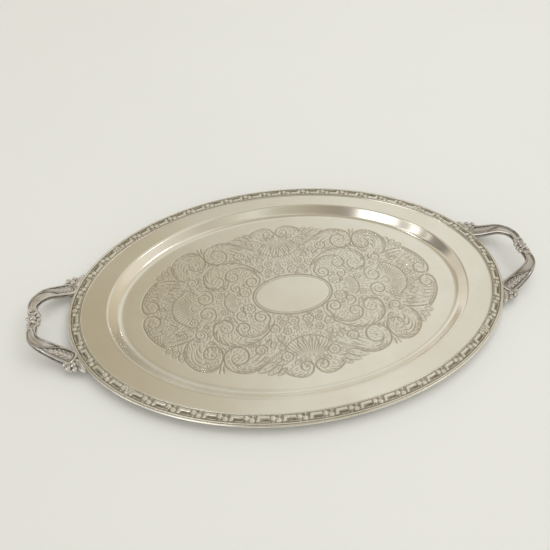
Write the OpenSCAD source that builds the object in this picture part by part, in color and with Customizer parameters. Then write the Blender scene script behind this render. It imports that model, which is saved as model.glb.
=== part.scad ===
// Oval serving tray with a pressed body, an applied ornamental border and two raised cast handles.
// The tray lies on the XY plane: X along its length, Y across it, Z up from the underside of the well.

/* [Tray body] */
// Length of the tray over its rim, without the handles
tray_length = 520; // [500:5:540]
// Width of the tray over its rim
tray_width = 354; // [346:2:362]
// Thickness of the sheet metal
sheet = 1.2; // [1:0.1:1.4]
// Length of the well at its upper edge
well_length = 436; // [430:2:440]
// Width of the well at its upper edge
well_width = 292; // [288:2:296]
// Depth of the well below the flange
well_depth = 10.8; // [10:0.2:12]
// Slope of the wall between the flange and the well
wall_slope = 46; // [42:1:60]

/* [Border] */
// Radius of the round wire that finishes the edge of the tray
edge_wire_r = 1.4; // [1.2:0.1:1.5]
// Radius of the half-round bead along the inner side of the border
bead_r = 0.9; // [0.7:0.1:1.1]
// Distance from the edge of the tray to the inner side of the border
border_width = 15; // [14:0.5:16]
// Thickness of the border's ground under its ornament
border_ground = 0.8; // [0.6:0.1:1]
// Height of the ornament above the border's ground
ornament_h = 1.1; // [0.8:0.1:1.4]
// Length of one repeat of the ornament
ornament_pitch = 27; // [24:1:30]
// Angle round the oval, from the long axis, of the joints between the four border lengths
joint_angle = 38; // [34:2:42]

/* [Handles] */
// Distance from the middle of the tray to the middle of a handle's grip
grip_reach = 294; // [290:1:298]
// Height of the grip's upper face above the flange
grip_rise = 16.5; // [15:0.5:18]
// Width of an arm at its leaf, next to the rim
leaf_w = 19; // [16:1:20]
// Width of an arm where it meets the knop
neck_w = 10; // [9:0.5:11]
// Thickness of an arm at its leaf
leaf_h = 7.4; // [7:0.2:8]
// Thickness of an arm where it meets the knop
neck_h = 7; // [6:0.2:7.4]
// Half length of the knop along the grip
knop_half = 11; // [10:0.5:12]
// Thickness of the shell plate under the rim
shell_plate = 2.4; // [2:0.2:3]

/* [Hidden] */
$fn = 96;

half_l = tray_length / 2;
half_w = tray_width / 2;
flange_top = sheet + well_depth;
flange_under = flange_top - sheet;
wire_z = flange_top - sheet / 2;
wire_bottom = wire_z - edge_wire_r;
shoulder_r = 5;
foot_r = 12;
// Level strip inside the wall, which overlaps the floor's disc
floor_lap = 12;
// Distance from the edge of the tray to the edge of the sheet, inside the wire
sheet_edge = 2.2;
// Angle between the rings of a swept oval
round_step = 4;
strip_in = sheet_edge;
strip_out = border_width - 2 * bead_r;
ornament_mid = (strip_in + strip_out) / 2;
rosette_r = 2.7;
bar_w = 1.5;
bar_l = 10.5;

// ---------------------------------------------------------------- ovals and skins

// Point at a distance outside (or inside, when negative) an ellipse of half axes a and b
function oval_point(a, b, t, out, z) =
    let (away = [b * cos(t), a * sin(t)])
    [a * cos(t) + out * away[0] / norm(away), b * sin(t) + out * away[1] / norm(away), z];
function rim_point(t, out, z) = oval_point(half_l, half_w, t, out, z);
function well_point(t, out, z) = oval_point(well_length / 2, well_width / 2, t, out, z);

// Solid skin through a row of rings with equal numbers of points, closed on itself or capped
module skin(rings, closed) {
    n = len(rings[0]);
    count = len(rings);
    last = (count - 1) * n;
    spans = closed ? count : count - 1;
    sides = [for (k = [0:spans - 1], i = [0:n - 1])
        let (a = k * n + i, b = k * n + (i + 1) % n,
             c = ((k + 1) % count) * n + i, d = ((k + 1) % count) * n + (i + 1) % n)
        each [[a, b, c], [b, d, c]]];
    caps = [for (i = [1:n - 2]) each [[0, i + 1, i], [last, last + i, last + i + 1]]];
    polyhedron([for (ring = rings) each ring], closed ? sides : concat(sides, caps));
}

// Sweeps a section of [out, z] points along the rim from one angle to another
module rim_sweep(section, from, to) {
    closed = to - from == 360;
    count = round((to - from) / round_step);
    skin([for (k = [0:closed ? count - 1 : count])
        let (t = from + (to - from) * k / count)
        [for (p = section) rim_point(t, p[0], p[1])]], closed);
}

// Points of an arc of [out, z] about a centre, from one angle to another
function arc_points(centre, r, from, to, steps) = [
    for (i = [0:steps])
        let (t = from + (to - from) * i / steps)
        centre + r * [cos(t), sin(t)]
];

// ---------------------------------------------------------------- tray body

wall_run = (well_depth - (shoulder_r + foot_r) * (1 - cos(wall_slope))) / sin(wall_slope);
wall_w = (shoulder_r + foot_r) * sin(wall_slope) + wall_run * cos(wall_slope);

// One face of the wall, from its shoulder at the flange down to its foot at the well's floor
function wall_face(depth) = concat(
    arc_points([0, flange_top - shoulder_r], shoulder_r - depth, 90, 90 + wall_slope, 4),
    arc_points([-wall_w, sheet + foot_r], foot_r + depth, wall_slope - 90, -90, 4)
);
function backwards(points) = [for (i = [len(points) - 1:-1:0]) points[i]];
body_section = concat(
    wall_face(0),
    [[-wall_w - floor_lap, sheet], [-wall_w - floor_lap, 0]],
    backwards(wall_face(sheet))
);
function body_ring(t) = concat(
    [rim_point(t, -sheet_edge, flange_under), rim_point(t, -sheet_edge, flange_top)],
    [for (p = body_section) well_point(t, p[0], p[1])]
);

module tray_body() {
    floor_l = well_length / 2 - wall_w - floor_lap / 2;
    floor_w = well_width / 2 - wall_w - floor_lap / 2;
    color([0.84, 0.81, 0.74]) {
        linear_extrude(sheet)
            scale([1, floor_w / floor_l])
                circle(floor_l);
        skin([for (t = [0:round_step:359]) body_ring(t)], true);
    }
}

// ---------------------------------------------------------------- wires and border

// Round wire with a flat that meets the edge of the sheet
module edge_wire() {
    flat = acos((sheet_edge - edge_wire_r) / edge_wire_r);
    color([0.78, 0.76, 0.70])
        rim_sweep(arc_points([-edge_wire_r, wire_z], edge_wire_r, flat - 180, 180 - flat, 8), 0, 360);
}

// Half-round bead that lies on the flange along the inner side of the border
module inner_bead() {
    color([0.86, 0.84, 0.78])
        rim_sweep(arc_points([bead_r - border_width, flange_top], bead_r, 0, 180, 6), 0, 360);
}

// Speed along the middle of the border for a change of angle, in mm per degree
mid_l = half_l - ornament_mid;
mid_w = half_w - ornament_mid;
function speed(t) = norm([mid_l * sin(t), mid_w * cos(t)]) * PI / 180;

// Table of [distance travelled, angle] along the middle of the border
function travel(from, to) = [
    for (t = from, s = 0; t <= to; s = s + speed(t + 0.5), t = t + 1) [s, t]
];

// One repeat of the ornament: a hooked bar and two rosettes, laid along Y with the edge at +X
module ornament() {
    base = flange_top + border_ground / 2;
    high = border_ground / 2 + ornament_h;
    translate([-1.9 - bar_w / 2, 1.5 - ornament_pitch / 2, base])
        cube([bar_w, bar_l, high]);
    translate([-1.9, 1.5 - ornament_pitch / 2, base])
        cube([4.4, bar_w, high]);
    for (side = [-1, 1])
        translate([side * 1.9, 4.2 + side * 2.6, base])
            cylinder(h = high, r1 = rosette_r, r2 = rosette_r - 1);
}

// Border length with a whole number of repeats between its two joints
module border_length(from, to) {
    path = travel(from, to);
    reach = path[len(path) - 1][0];
    count = round(reach / ornament_pitch);
    color([0.55, 0.53, 0.46]) {
        rim_sweep([
            [-strip_out, flange_top], [-strip_in, flange_top],
            [-strip_in, flange_top + border_ground], [-strip_out, flange_top + border_ground]
        ], from, to);
        for (i = [0:count - 1]) {
            t = lookup(reach * (i + 0.5) / count, path);
            translate(rim_point(t, -ornament_mid, 0))
                rotate([0, 0, atan2(half_l * sin(t), half_w * cos(t))])
                    ornament();
        }
    }
}

// ---------------------------------------------------------------- handles

// Route of the far arm of the right handle, from the rim to the knop, at the arm's mid height
arm_mid = flange_top + grip_rise - neck_h / 2;
arm_route = [
    [grip_reach - 44, 52, arm_mid - 20],
    [grip_reach - 36, 48, arm_mid - 14.5],
    [grip_reach - 26, 43.5, arm_mid - 10],
    [grip_reach - 14, 37.5, arm_mid - 4],
    [grip_reach - 5.5, 31, arm_mid - 2],
    [grip_reach - 0.5, 25, arm_mid - 2.2],
    [grip_reach + 1.5, 18, arm_mid - 1.5],
    [grip_reach, knop_half, arm_mid]
];
arm_rings = 26;

// Point on a smooth curve through a list of points, at t from 0 to 1
function blend4(p0, p1, p2, p3, u) =
    ((2 * p1) + (p2 - p0) * u + (2 * p0 - 5 * p1 + 4 * p2 - p3) * u * u
     + (3 * p1 - p0 - 3 * p2 + p3) * u * u * u) / 2;
function clamp(i, n) = max(0, min(n - 1, i));
function along(route, t) =
    let (n = len(route), s = t * (n - 1), i = min(n - 2, floor(s)), u = s - i)
    blend4(route[clamp(i - 1, n)], route[i], route[i + 1], route[clamp(i + 2, n)], u);
function unit(v) = v / norm(v);
function heading(route, t) =
    unit(along(route, min(1, t + 0.01)) - along(route, max(0, t - 0.01)));

// Half of an arm's section from the middle of its channel round to the middle of its underside,
// as parts of its width and thickness
channel = 0.16;
half_section = [
    [0, 0.5 - channel], [0.26, 0.5 - channel], [0.33, 0.47], [0.42, 0.5],
    [0.49, 0.36], [0.5, 0.05], [0.43, -0.3], [0.24, -0.47], [0, -0.5]
];
mirrored_section = [for (i = [len(half_section) - 2:-1:1]) [-half_section[i][0], half_section[i][1]]];
arm_section = concat(half_section, mirrored_section);

// Width and thickness of an arm at t: broad at the leaf, slim at the neck
function arm_w(t) = neck_w + (leaf_w - neck_w) * pow(cos(90 * t), 1.4);
function arm_h(t) = neck_h + (leaf_h - neck_h) * (1 - t);

// Last ring of an arm is square to the grip, so that it lies flat against the knop
function arm_ring(t) =
    let (ahead = t == 1 ? [0, -1, 0] : heading(arm_route, t),
         across = unit(cross([0, 0, 1], ahead)),
         up = cross(ahead, across))
    [for (s = arm_section)
        along(arm_route, t) + across * s[0] * arm_w(t) + up * s[1] * arm_h(t)];

module arm_sweep() {
    skin([for (k = [0:arm_rings]) arm_ring(k / arm_rings)], false);
}

// Beads of a shell, on the side away from the middle of the handle
shell_angle = 26;
shell_spot = [grip_reach - 40, 55, wire_bottom];
module shell_beads() {
    for (spot = [[10, 0], [6, 6.5], [-2, 9]])
        translate(shell_spot + [spot[0], spot[1], 0])
            sphere(3.4);
}

// The arm stands on its shell, beside the beads, and stops at the edge wire
module arm() {
    color([0.66, 0.65, 0.62])
        difference() {
            arm_sweep();
            shell_beads();
            translate([0, 0, -1])
                cube([grip_reach, 2 * half_w, wire_bottom + 1]);
            translate([0, 0, -1])
                scale([1, (half_w + 0.4) / (half_l + 0.4), 1])
                    cylinder(h = 3 * flange_top, r = half_l + 0.4, $fn = 240);
        }
}

// Shell that carries an arm: a plate under the flange, rounded beyond the rim, and three beads
module shell() {
    color([0.68, 0.67, 0.64]) {
        translate(shell_spot - [14, 0, shell_plate])
            rotate([0, 0, shell_angle]) {
                translate([-4, -11, 0]) cube([20, 22, shell_plate]);
                translate([-4, -9, 0])
                    cube([9, 18, shell_plate + flange_under - wire_bottom]);
            }
        translate(shell_spot - [0, 0, shell_plate])
            cylinder(h = shell_plate, r = 12);
        shell_beads();
    }
}

// Knop in the middle of the grip: two scrolls bound together by beads
module knop() {
    scroll_r = 5;
    low = arm_mid - neck_h / 2;
    color([0.7, 0.69, 0.66])
        translate([grip_reach, 0, low])
            difference() {
                union() {
                    for (side = [-1, 1]) {
                        translate([-4, side * (knop_half - scroll_r), 0])
                            cylinder(h = neck_h, r = scroll_r);
                        translate([-neck_w / 2 + 0.5, side == 1 ? 2 : -knop_half, 0.4])
                            cube([neck_w - 1, knop_half - 2, neck_h - 0.8]);
                    }
                    translate([0, 0, neck_h / 2 + 1]) sphere(5.4);
                    for (side = [-1, 1])
                        translate([-6.5, side * 2.6, neck_h - 1]) sphere(2.6);
                    translate([5, 0, neck_h / 2]) sphere(3.2);
                }
                // small pierced eye beside the binding
                translate([3.2, -5.6, -1]) cylinder(h = neck_h + 2, r = 1.1, $fn = 24);
                // flat ends that meet the arms
                for (side = [-1, 1])
                    translate([-20, side == 1 ? knop_half : -knop_half - 10, -1])
                        cube([40, 10, neck_h + 2]);
            }
}

// Places a piece made for the far side of the right handle at any of the four corners
module at_corner(left, near) {
    mirror([left ? 1 : 0, 0, 0])
        mirror([0, near ? 1 : 0, 0])
            children();
}

tray_body();
edge_wire();
inner_bead();
border_length(-joint_angle, joint_angle);  // border_right
border_length(joint_angle, 180 - joint_angle);  // border_far
border_length(180 - joint_angle, 180 + joint_angle);  // border_left
border_length(180 + joint_angle, 360 - joint_angle);  // border_near

at_corner(true, true) arm();  // left_handle_near_arm
at_corner(true, false) arm();  // left_handle_far_arm
mirror([1, 0, 0]) knop();  // left_handle_knop
at_corner(true, true) shell();  // left_handle_near_shell
at_corner(true, false) shell();  // left_handle_far_shell
at_corner(false, true) arm();  // right_handle_near_arm
at_corner(false, false) arm();  // right_handle_far_arm
knop();  // right_handle_knop
at_corner(false, true) shell();  // right_handle_near_shell
at_corner(false, false) shell();  // right_handle_far_shell
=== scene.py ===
"""Oval silver-plated serving tray: meshes, materials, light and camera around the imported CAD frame.

Lengths are in millimetres while a piece is worked out, and in metres once it is a mesh.
X runs along the tray, Y across it, Z up from the underside of the well.
"""

import math

import bmesh
import bpy
import numpy as np
from mathutils import Matrix, Vector


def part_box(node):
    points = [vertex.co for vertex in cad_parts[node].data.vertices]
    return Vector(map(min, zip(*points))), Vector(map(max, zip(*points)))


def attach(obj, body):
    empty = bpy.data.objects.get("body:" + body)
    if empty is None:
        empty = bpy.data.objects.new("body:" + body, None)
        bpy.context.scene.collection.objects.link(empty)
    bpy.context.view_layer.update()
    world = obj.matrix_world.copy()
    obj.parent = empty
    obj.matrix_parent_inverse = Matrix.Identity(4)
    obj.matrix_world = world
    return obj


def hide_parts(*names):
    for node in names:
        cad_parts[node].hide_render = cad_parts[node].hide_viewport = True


MM = 0.001
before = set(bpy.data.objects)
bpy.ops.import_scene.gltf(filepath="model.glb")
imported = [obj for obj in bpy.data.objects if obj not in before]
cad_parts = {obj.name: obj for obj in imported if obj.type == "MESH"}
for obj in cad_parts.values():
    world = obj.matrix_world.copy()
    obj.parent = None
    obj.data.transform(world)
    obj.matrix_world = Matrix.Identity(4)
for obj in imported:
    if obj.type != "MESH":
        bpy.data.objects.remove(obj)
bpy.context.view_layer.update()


# ---- sizes from the frame

def box_mm(node):
    """Lowest and highest corner of a CAD node, in millimetres."""
    low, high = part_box(node)
    return np.array(low) / MM, np.array(high) / MM


wire_low, wire_high = box_mm("edge_wire")
bead_low, bead_high = box_mm("inner_bead")
knop_low, knop_high = box_mm("right_handle_knop")
_, body_high = box_mm("tray_body")
_, border_high = box_mm("border_near")
_, arm_high = box_mm("right_handle_far_arm")

# Half length and half width of the rim, and the height of the flange
RIM = wire_high[:2]
FLANGE_TOP = body_high[2]
# Edge wire: its radius and the height of its centre
WIRE_R = (wire_high[2] - wire_low[2]) / 2
WIRE_Z = (wire_high[2] + wire_low[2]) / 2
# Inner bead: its radius, and its centre line as a distance outside the rim
BEAD_R = bead_high[2] - bead_low[2]
BEAD_OUT = bead_high[0] - BEAD_R - RIM[0]
# Thickness of the pressed sheet, and how far its edge stays inside the rim
SHEET = 1.2
SHEET_EDGE = RIM[0] - body_high[0]
# Border strip: how far its inner edge is inside the rim, and its width
STRIP_INNER = RIM[0] - bead_high[0]
STRIP_WIDE = STRIP_INNER - SHEET_EDGE
# Handles: half length of the knop, middle of the grip along X, and top of the arms
KNOP_HALF = knop_high[1]
GRIP_X = (knop_low[0] + knop_high[0]) / 2
GRIP_TOP = arm_high[2]

# Well: half length and half width at the shoulder, slope of its wall, and the two radii of the wall
WELL = (218.0, 146.0)
WALL_SLOPE = math.radians(46)
SHOULDER_R, FOOT_R = 5.0, 12.0


# ---- curves and numbers

def smooth(low, high, value):
    """Smooth step from 0 at low to 1 at high."""
    x = np.clip((value - low) / (high - low), 0, 1)
    return x * x * (3 - 2 * x)


def through(points, steps=14):
    """Smooth curve through a list of points."""
    p = np.array(points, float)
    p = np.vstack([2 * p[0] - p[1], p, 2 * p[-1] - p[-2]])
    u = np.linspace(0, 1, steps, endpoint=False)[:, None]
    parts = []
    for a, b, c, d in zip(p[:-3], p[1:-2], p[2:-1], p[3:]):
        bend = 2 * a - 5 * b + 4 * c - d + u * (3 * (b - c) + d - a)
        parts.append(b + 0.5 * u * (c - a + u * bend))
    return np.vstack(parts + [p[-2:-1]])


def evenly(path, step):
    """The same path with points a step apart."""
    length = np.r_[0, np.cumsum(np.linalg.norm(np.diff(path, axis=0), axis=1))]
    count = max(3, int(length[-1] / step) + 1)
    at = np.linspace(0, length[-1], count)
    return np.stack([np.interp(at, length, path[:, k]) for k in range(path.shape[1])], 1)


def around(turn):
    """Points on a circle of radius one."""
    return np.stack([np.cos(turn), np.sin(turn)], -1)


def oval(size, angle, out=0.0):
    """Points at a distance outside an ellipse with a half length and a half width."""
    half_l, half_w = size
    away = np.stack([half_w * np.cos(angle), half_l * np.sin(angle)], -1)
    away /= np.linalg.norm(away, axis=-1, keepdims=True)
    on = np.stack([half_l * np.cos(angle), half_w * np.sin(angle)], -1)
    return on + np.asarray(out)[..., None] * away


def ripple(x, y, size, seed):
    """Gentle random swell over the plane, between about -1 and 1, with waves of one size."""
    waves = np.random.default_rng(seed)
    total = np.zeros(np.broadcast(x, y).shape)
    count = 14
    for _ in range(count):
        turn = waves.uniform(0, math.tau)
        pace = waves.uniform(0.6, 1.5) * math.tau / size
        phase = waves.uniform(0, math.tau)
        total += np.sin(pace * (x * math.cos(turn) + y * math.sin(turn)) + phase)
    return total / math.sqrt(count) / 1.4


# ---- meshes

def place_in_scene(name, data):
    """New object that shows a mesh, a light or a camera."""
    thing = bpy.data.objects.new(name, data)
    bpy.context.scene.collection.objects.link(thing)
    return thing


def new_mesh(name, points, faces):
    """Mesh from points in millimetres."""
    mesh = bpy.data.meshes.new(name)
    mesh.from_pydata((np.asarray(points) * MM).tolist(), [], faces)
    return mesh


def make_piece(name, points, faces, slot, oxide_and_shade, sharp=None):
    """Piece that stands for the CAD node of the same name, with the oxide and painted shade at each of its
    points.
    """
    mesh = new_mesh(name, points, faces)
    mesh.validate()
    skin = bmesh.new()
    skin.from_mesh(mesh)
    bmesh.ops.recalc_face_normals(skin, faces=skin.faces)
    skin.to_mesh(mesh)
    skin.free()
    mesh.shade_smooth()
    layer = mesh.attributes.new("oxide_and_shade", "FLOAT", "POINT")
    layer.data.foreach_set("value", np.asarray(oxide_and_shade, np.float32))
    if sharp:
        mesh.set_sharp_from_angle(angle=math.radians(sharp))
    mesh.materials.append(MATERIALS[slot])
    piece = place_in_scene(name, mesh)
    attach(piece, "root")
    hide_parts(name)


def loop_quads(rings, count, closed_rings=False, first=0):
    """Quads between closed rings of equal count; the last ring may join the first."""
    k = np.arange(rings if closed_rings else rings - 1)[:, None]
    i = np.arange(count)[None, :]
    n = (i + 1) % count
    up = (k + 1) % rings
    quads = np.stack([k * count + i, k * count + n, up * count + n, up * count + i], -1)
    return (quads.reshape(-1, 4) + first).tolist()


def tube_faces(rings, count):
    """Faces of a tube of closed rings, with a cap on each end."""
    first_ring = list(range(count))
    last_ring = [(rings - 1) * count + k for k in range(count)]
    return loop_quads(rings, count) + [first_ring[::-1], last_ring]


# ---- materials

class Nodes:
    """Adds nodes to a tree. An input is a value, or the output of another node."""

    def __init__(self, tree):
        self.tree = tree
        tree.nodes.clear()

    def add(self, kind, inputs=(), **settings):
        """New node with its inputs by name or number, and its settings."""
        node = self.tree.nodes.new(kind)
        for key, value in settings.items():
            setattr(node, key, value)
        for key, value in dict(inputs).items():
            if isinstance(value, bpy.types.NodeSocket):
                self.tree.links.new(value, node.inputs[key])
            else:
                node.inputs[key].default_value = value
        return node

    def noise(self, place, scale, detail, roughness=0.6):
        """Noise with a number of waves to the metre, mostly between 0.3 and 0.7."""
        inputs = {"Vector": place, "Scale": scale, "Detail": detail, "Roughness": roughness}
        return self.add("ShaderNodeTexNoise", inputs).outputs["Fac"]

    def remap(self, value, low=0.3, high=0.7, to_low=0.0, to_high=1.0):
        """Value moved from one pair of limits to another, and kept inside them."""
        inputs = {"Value": value, "From Min": low, "From Max": high, "To Min": to_low, "To Max": to_high}
        return self.add("ShaderNodeMapRange", inputs).outputs["Result"]

    def ease(self, value, low, high):
        """Smooth step of a value between two limits, in either order."""
        inputs = {"Value": value, "From Min": low, "From Max": high}
        return self.add("ShaderNodeMapRange", inputs, interpolation_type="SMOOTHSTEP").outputs["Result"]

    def ramp(self, turn, stops):
        """Colours round the compass, from stops in degrees."""
        node = self.add("ShaderNodeValToRGB", {0: turn})
        points = node.color_ramp.elements
        for k, (degrees, *colour) in enumerate(stops):
            point = points[k] if k < 2 else points.new(1.0)
            point.position = (degrees + 180) / 360
            point.color = (*colour, 1)
        return node.outputs[0]

    def maths(self, operation, a, b):
        """One operation on two values."""
        return self.add("ShaderNodeMath", {0: a, 1: b}, operation=operation).outputs[0]

    def sum(self, *terms):
        """Total of a first term and of products of two values each."""
        total = terms[0]
        for a, b in terms[1:]:
            total = self.maths("ADD", total, self.maths("MULTIPLY", a, b))
        return total

    def mix(self, share, a, b):
        """Colour mix; the node's colour sockets are its seventh and eighth inputs and its third output."""
        return self.add("ShaderNodeMix", {0: share, 6: a, 7: b}, data_type="RGBA").outputs[2]


def new_material(name):
    """Empty material, its nodes, and the place on the piece in metres."""
    material = bpy.data.materials.new(name)
    material.use_nodes = True
    nodes = Nodes(material.node_tree)
    return material, nodes, nodes.add("ShaderNodeTexCoord").outputs["Object"]


# Waves to the metre of the tarnish patches, of the mottling of the oxide and of its grain
PATCH_SCALE, MOTTLE_SCALE, GRAIN_SCALE = 11, 160, 900
# Fine scratches: how much the noise is squeezed along each axis, and its turn in the plane
SCRATCH_SQUEEZE, SCRATCH_TURN = (9, 420, 60), (0, 0, 0.5)
# Roughness that full oxide adds, and the height in metres that the bump stands for
OXIDE_ROUGHNESS, BUMP_HEIGHT = 0.22, 0.00008


def plated(name, silver, tarnish, oxide_and_shade, rough, haze, scratch):
    """Silver plate: tarnish in soft patches, oxide and painted shade where the piece says, haze and fine
    scratches.
    """
    material, nodes, place = new_material(name)
    # The oxide attribute holds real oxide, and painted shade on one side of the tray's wall
    oxide_and_shade_level = nodes.add("ShaderNodeAttribute", attribute_name="oxide_and_shade").outputs["Fac"]

    patches = nodes.remap(nodes.noise(place, PATCH_SCALE, 4.0), 0.38, 0.68)
    mottle = nodes.remap(nodes.noise(place, MOTTLE_SCALE, 3.0), to_low=0.75, to_high=1.15)
    grains = nodes.remap(nodes.noise(place, GRAIN_SCALE, 2.0), to_low=-0.5, to_high=0.5)
    oxide_and_shade_share = nodes.maths("MINIMUM", nodes.maths("MULTIPLY", oxide_and_shade_level, mottle), 1.0)
    colour = nodes.mix(oxide_and_shade_share, nodes.mix(patches, (*silver, 1), (*tarnish, 1)), (*oxide_and_shade, 1))

    squeezed = {"Vector": place, "Rotation": SCRATCH_TURN, "Scale": SCRATCH_SQUEEZE}
    drag = nodes.add("ShaderNodeMapping", squeezed).outputs["Vector"]
    streak = nodes.noise(drag, 5.0, 2.0)
    groove = nodes.remap(streak, to_low=-0.5, to_high=0.5)
    roughness = nodes.sum(rough, (patches, haze), (oxide_and_shade_level, OXIDE_ROUGHNESS), (groove, scratch))

    height = nodes.sum(nodes.maths("MULTIPLY", streak, 0.5), (grains, oxide_and_shade_level))
    bump = nodes.add("ShaderNodeBump", {"Height": height, "Strength": 0.25, "Distance": BUMP_HEIGHT})
    shader = nodes.add("ShaderNodeBsdfPrincipled", {
        "Base Color": colour, "Metallic": 1.0, "Roughness": roughness, "Normal": bump.outputs["Normal"]})
    nodes.add("ShaderNodeOutputMaterial", {"Surface": shader.outputs[0]})
    return material


def floor_material():
    """Pale studio paper, slightly uneven in tone."""
    material, nodes, place = new_material("studio_paper")
    cloud = nodes.remap(nodes.noise(place, 1.6, 3.0, 0.5))
    colour = nodes.mix(cloud, (0.82, 0.83, 0.825, 1), (0.845, 0.855, 0.85, 1))
    paper = nodes.add("ShaderNodeBsdfPrincipled", {"Base Color": colour, "Roughness": 0.85}).outputs[0]
    # The paper has no back, so the underside of the tray can be looked at from below
    back = nodes.add("ShaderNodeNewGeometry").outputs["Backfacing"]
    clear = nodes.add("ShaderNodeBsdfTransparent").outputs[0]
    shader = nodes.add("ShaderNodeMixShader", {0: back, 1: paper, 2: clear})
    nodes.add("ShaderNodeOutputMaterial", {"Surface": shader.outputs[0]})
    return material


# Plate on each kind of piece: colours of silver, tarnish, and oxide and painted shade, then roughness,
# haze and scratches
PLATES = {
    "plated_sheet": ((0.93, 0.9, 0.83), (0.87, 0.82, 0.72), (0.36, 0.31, 0.23), 0.12, 0.06, 0.03),
    "plated_wire": ((0.93, 0.9, 0.84), (0.74, 0.7, 0.61), (0.3, 0.27, 0.21), 0.16, 0.08, 0.03),
    "plated_border": ((0.92, 0.89, 0.82), (0.78, 0.75, 0.66), (0.23, 0.205, 0.15), 0.24, 0.09, 0.05),
    "plated_casting": ((0.78, 0.75, 0.72), (0.59, 0.555, 0.525), (0.09, 0.078, 0.07), 0.12, 0.06, 0.03),
}
MATERIALS = {name: plated(name, *plate) for name, plate in PLATES.items()}


# ---- engraving of the well

# Half length and half width of the engraved ground, and of the plain cartouche in its middle
PATTERN_L, PATTERN_W = 186.0, 124.0
CARTOUCHE = (45.0, 28.0)
# The quarter pattern is drawn at its full width and squashed a little across the tray
PATTERN_SQUASH = 0.965
# Depth and width of a cut, and the size of a cell of the map that it is drawn in
LINE_DEPTH, LINE_WIDTH = 0.32, 1.35
CELL = 0.25
# Taper of a line that keeps its width
EVEN = (0.01, 0.01)

# Depth of cut over one quarter of the well, from 0 to 1, which the other quarters mirror
cut = np.zeros((int(PATTERN_W / CELL) + 2, int(PATTERN_L / CELL) + 2))


def engrave(path, width=1.5, taper=(0.15, 0.4), depth=1.0):
    """Cuts a line into the quarter pattern; it swells from its ends over the two taper shares."""
    path = evenly(np.asarray(path, float), 0.15)
    share = np.linspace(0, 1, len(path))
    swell = np.minimum(share / max(taper[0], 1e-3), (1 - share) / max(taper[1], 1e-3))
    swell = 0.35 + 0.65 * np.sqrt(np.clip(swell, 0, 1))
    radius = np.maximum(LINE_WIDTH * width / 2 * swell, 0.4)
    col, row = path[:, 0] / CELL, path[:, 1] / CELL
    reach = int(LINE_WIDTH * width / 2 / CELL) + 2
    for down in range(-reach, reach + 1):
        for along in range(-reach, reach + 1):
            c = np.floor(col).astype(int) + along
            r = np.floor(row).astype(int) + down
            inside = (c >= 0) & (r >= 0) & (c < cut.shape[1]) & (r < cut.shape[0])
            distance = np.hypot(c - col, r - row) * CELL
            value = depth * swell * np.clip(1 - (distance / radius) ** 2, 0, 1)
            np.maximum.at(cut, (r[inside], c[inside]), value[inside])


def volute(points, centre, turns, width=1.7):
    """Scroll: a curve through points that winds on into its centre and ends in an eye."""
    lead = through(points)
    centre = np.array(centre, float)
    start, before = lead[-1] - centre, lead[-3] - centre
    sense = 1 if before[0] * start[1] - before[1] * start[0] > 0 else -1
    radius, angle = np.linalg.norm(start), math.atan2(start[1], start[0])
    share = np.linspace(0, 1, 60)[1:]
    turn = angle + sense * share * turns * math.tau
    size = radius * (1 - share) ** 0.8 + 1.4 * share
    wind = centre + size[:, None] * around(turn)
    engrave(np.vstack([lead, wind]), width, (0.08, 0.25))
    engrave([centre - [0.2, 0], centre + [0.2, 0.1]], 2.2, EVEN)
    return lead


def fronds(lead, start, end, count, length, lean, width=1.2, curl=0.8):
    """Curved strokes that spring from one side of a lead and follow it, as the folds of a leaf do."""
    for share in np.linspace(start, end, count):
        k = int(share * (len(lead) - 3)) + 1
        ahead = lead[k + 1] - lead[k - 1]
        ahead = ahead / np.linalg.norm(ahead)
        side = np.array([-ahead[1], ahead[0]]) * (1 if lean > 0 else -1)
        root = lead[k] + side * 1.6
        middle = root + ahead * length * 0.5 + side * abs(lean) * length * 0.32
        tip = root + ahead * length * curl + side * abs(lean) * length * 0.95
        engrave(through([root, middle, tip]), width, (0.1, 0.7))


def leaf(root, tip, belly=0.28, veins=2, width=1.2):
    """Pointed leaf: two bowed edges, a midrib and a few veins."""
    root, tip = np.array(root, float), np.array(tip, float)
    along = tip - root
    side = np.array([-along[1], along[0]])
    for bow in (-belly, belly):
        belly_at, taper_at = root + along * 0.35 + side * bow, root + along * 0.75 + side * bow * 0.75
        engrave(through([root, belly_at, taper_at, tip]), width, (0.2, 0.2))
    engrave([root, root + along * 0.8], width * 0.7, (0.1, 0.6), 0.8)
    for share in np.linspace(0.25, 0.6, veins):
        for bow in (-1, 1):
            start = root + along * share
            engrave([start, start + along * 0.16 + side * belly * 0.6 * bow], width * 0.6, (0.1, 0.6), 0.7)


def flower(centre, radius, petals=6, width=1.1):
    """Flower: a ring of petal loops round an eye."""
    centre = np.array(centre, float)
    turn = np.linspace(0, math.tau, 90)
    size = radius * (0.82 + 0.18 * np.abs(np.cos(petals * turn / 2)) ** 0.6 * 1.2)
    engrave(centre + size[:, None] * around(turn), width, EVEN)
    eye = 0.3 * radius
    engrave(centre + eye * around(turn), width * 0.8, EVEN)
    for k in range(petals):
        way = around((k + 0.5) / petals * math.tau)
        engrave([centre + way * eye * 1.3, centre + way * radius * 0.8], width * 0.7, (0.2, 0.5), 0.8)


def strokes(curves, width, taper):
    """Lines of one kind, each a smooth curve through its points."""
    for points in curves:
        engrave(through(points), width, taper)


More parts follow.
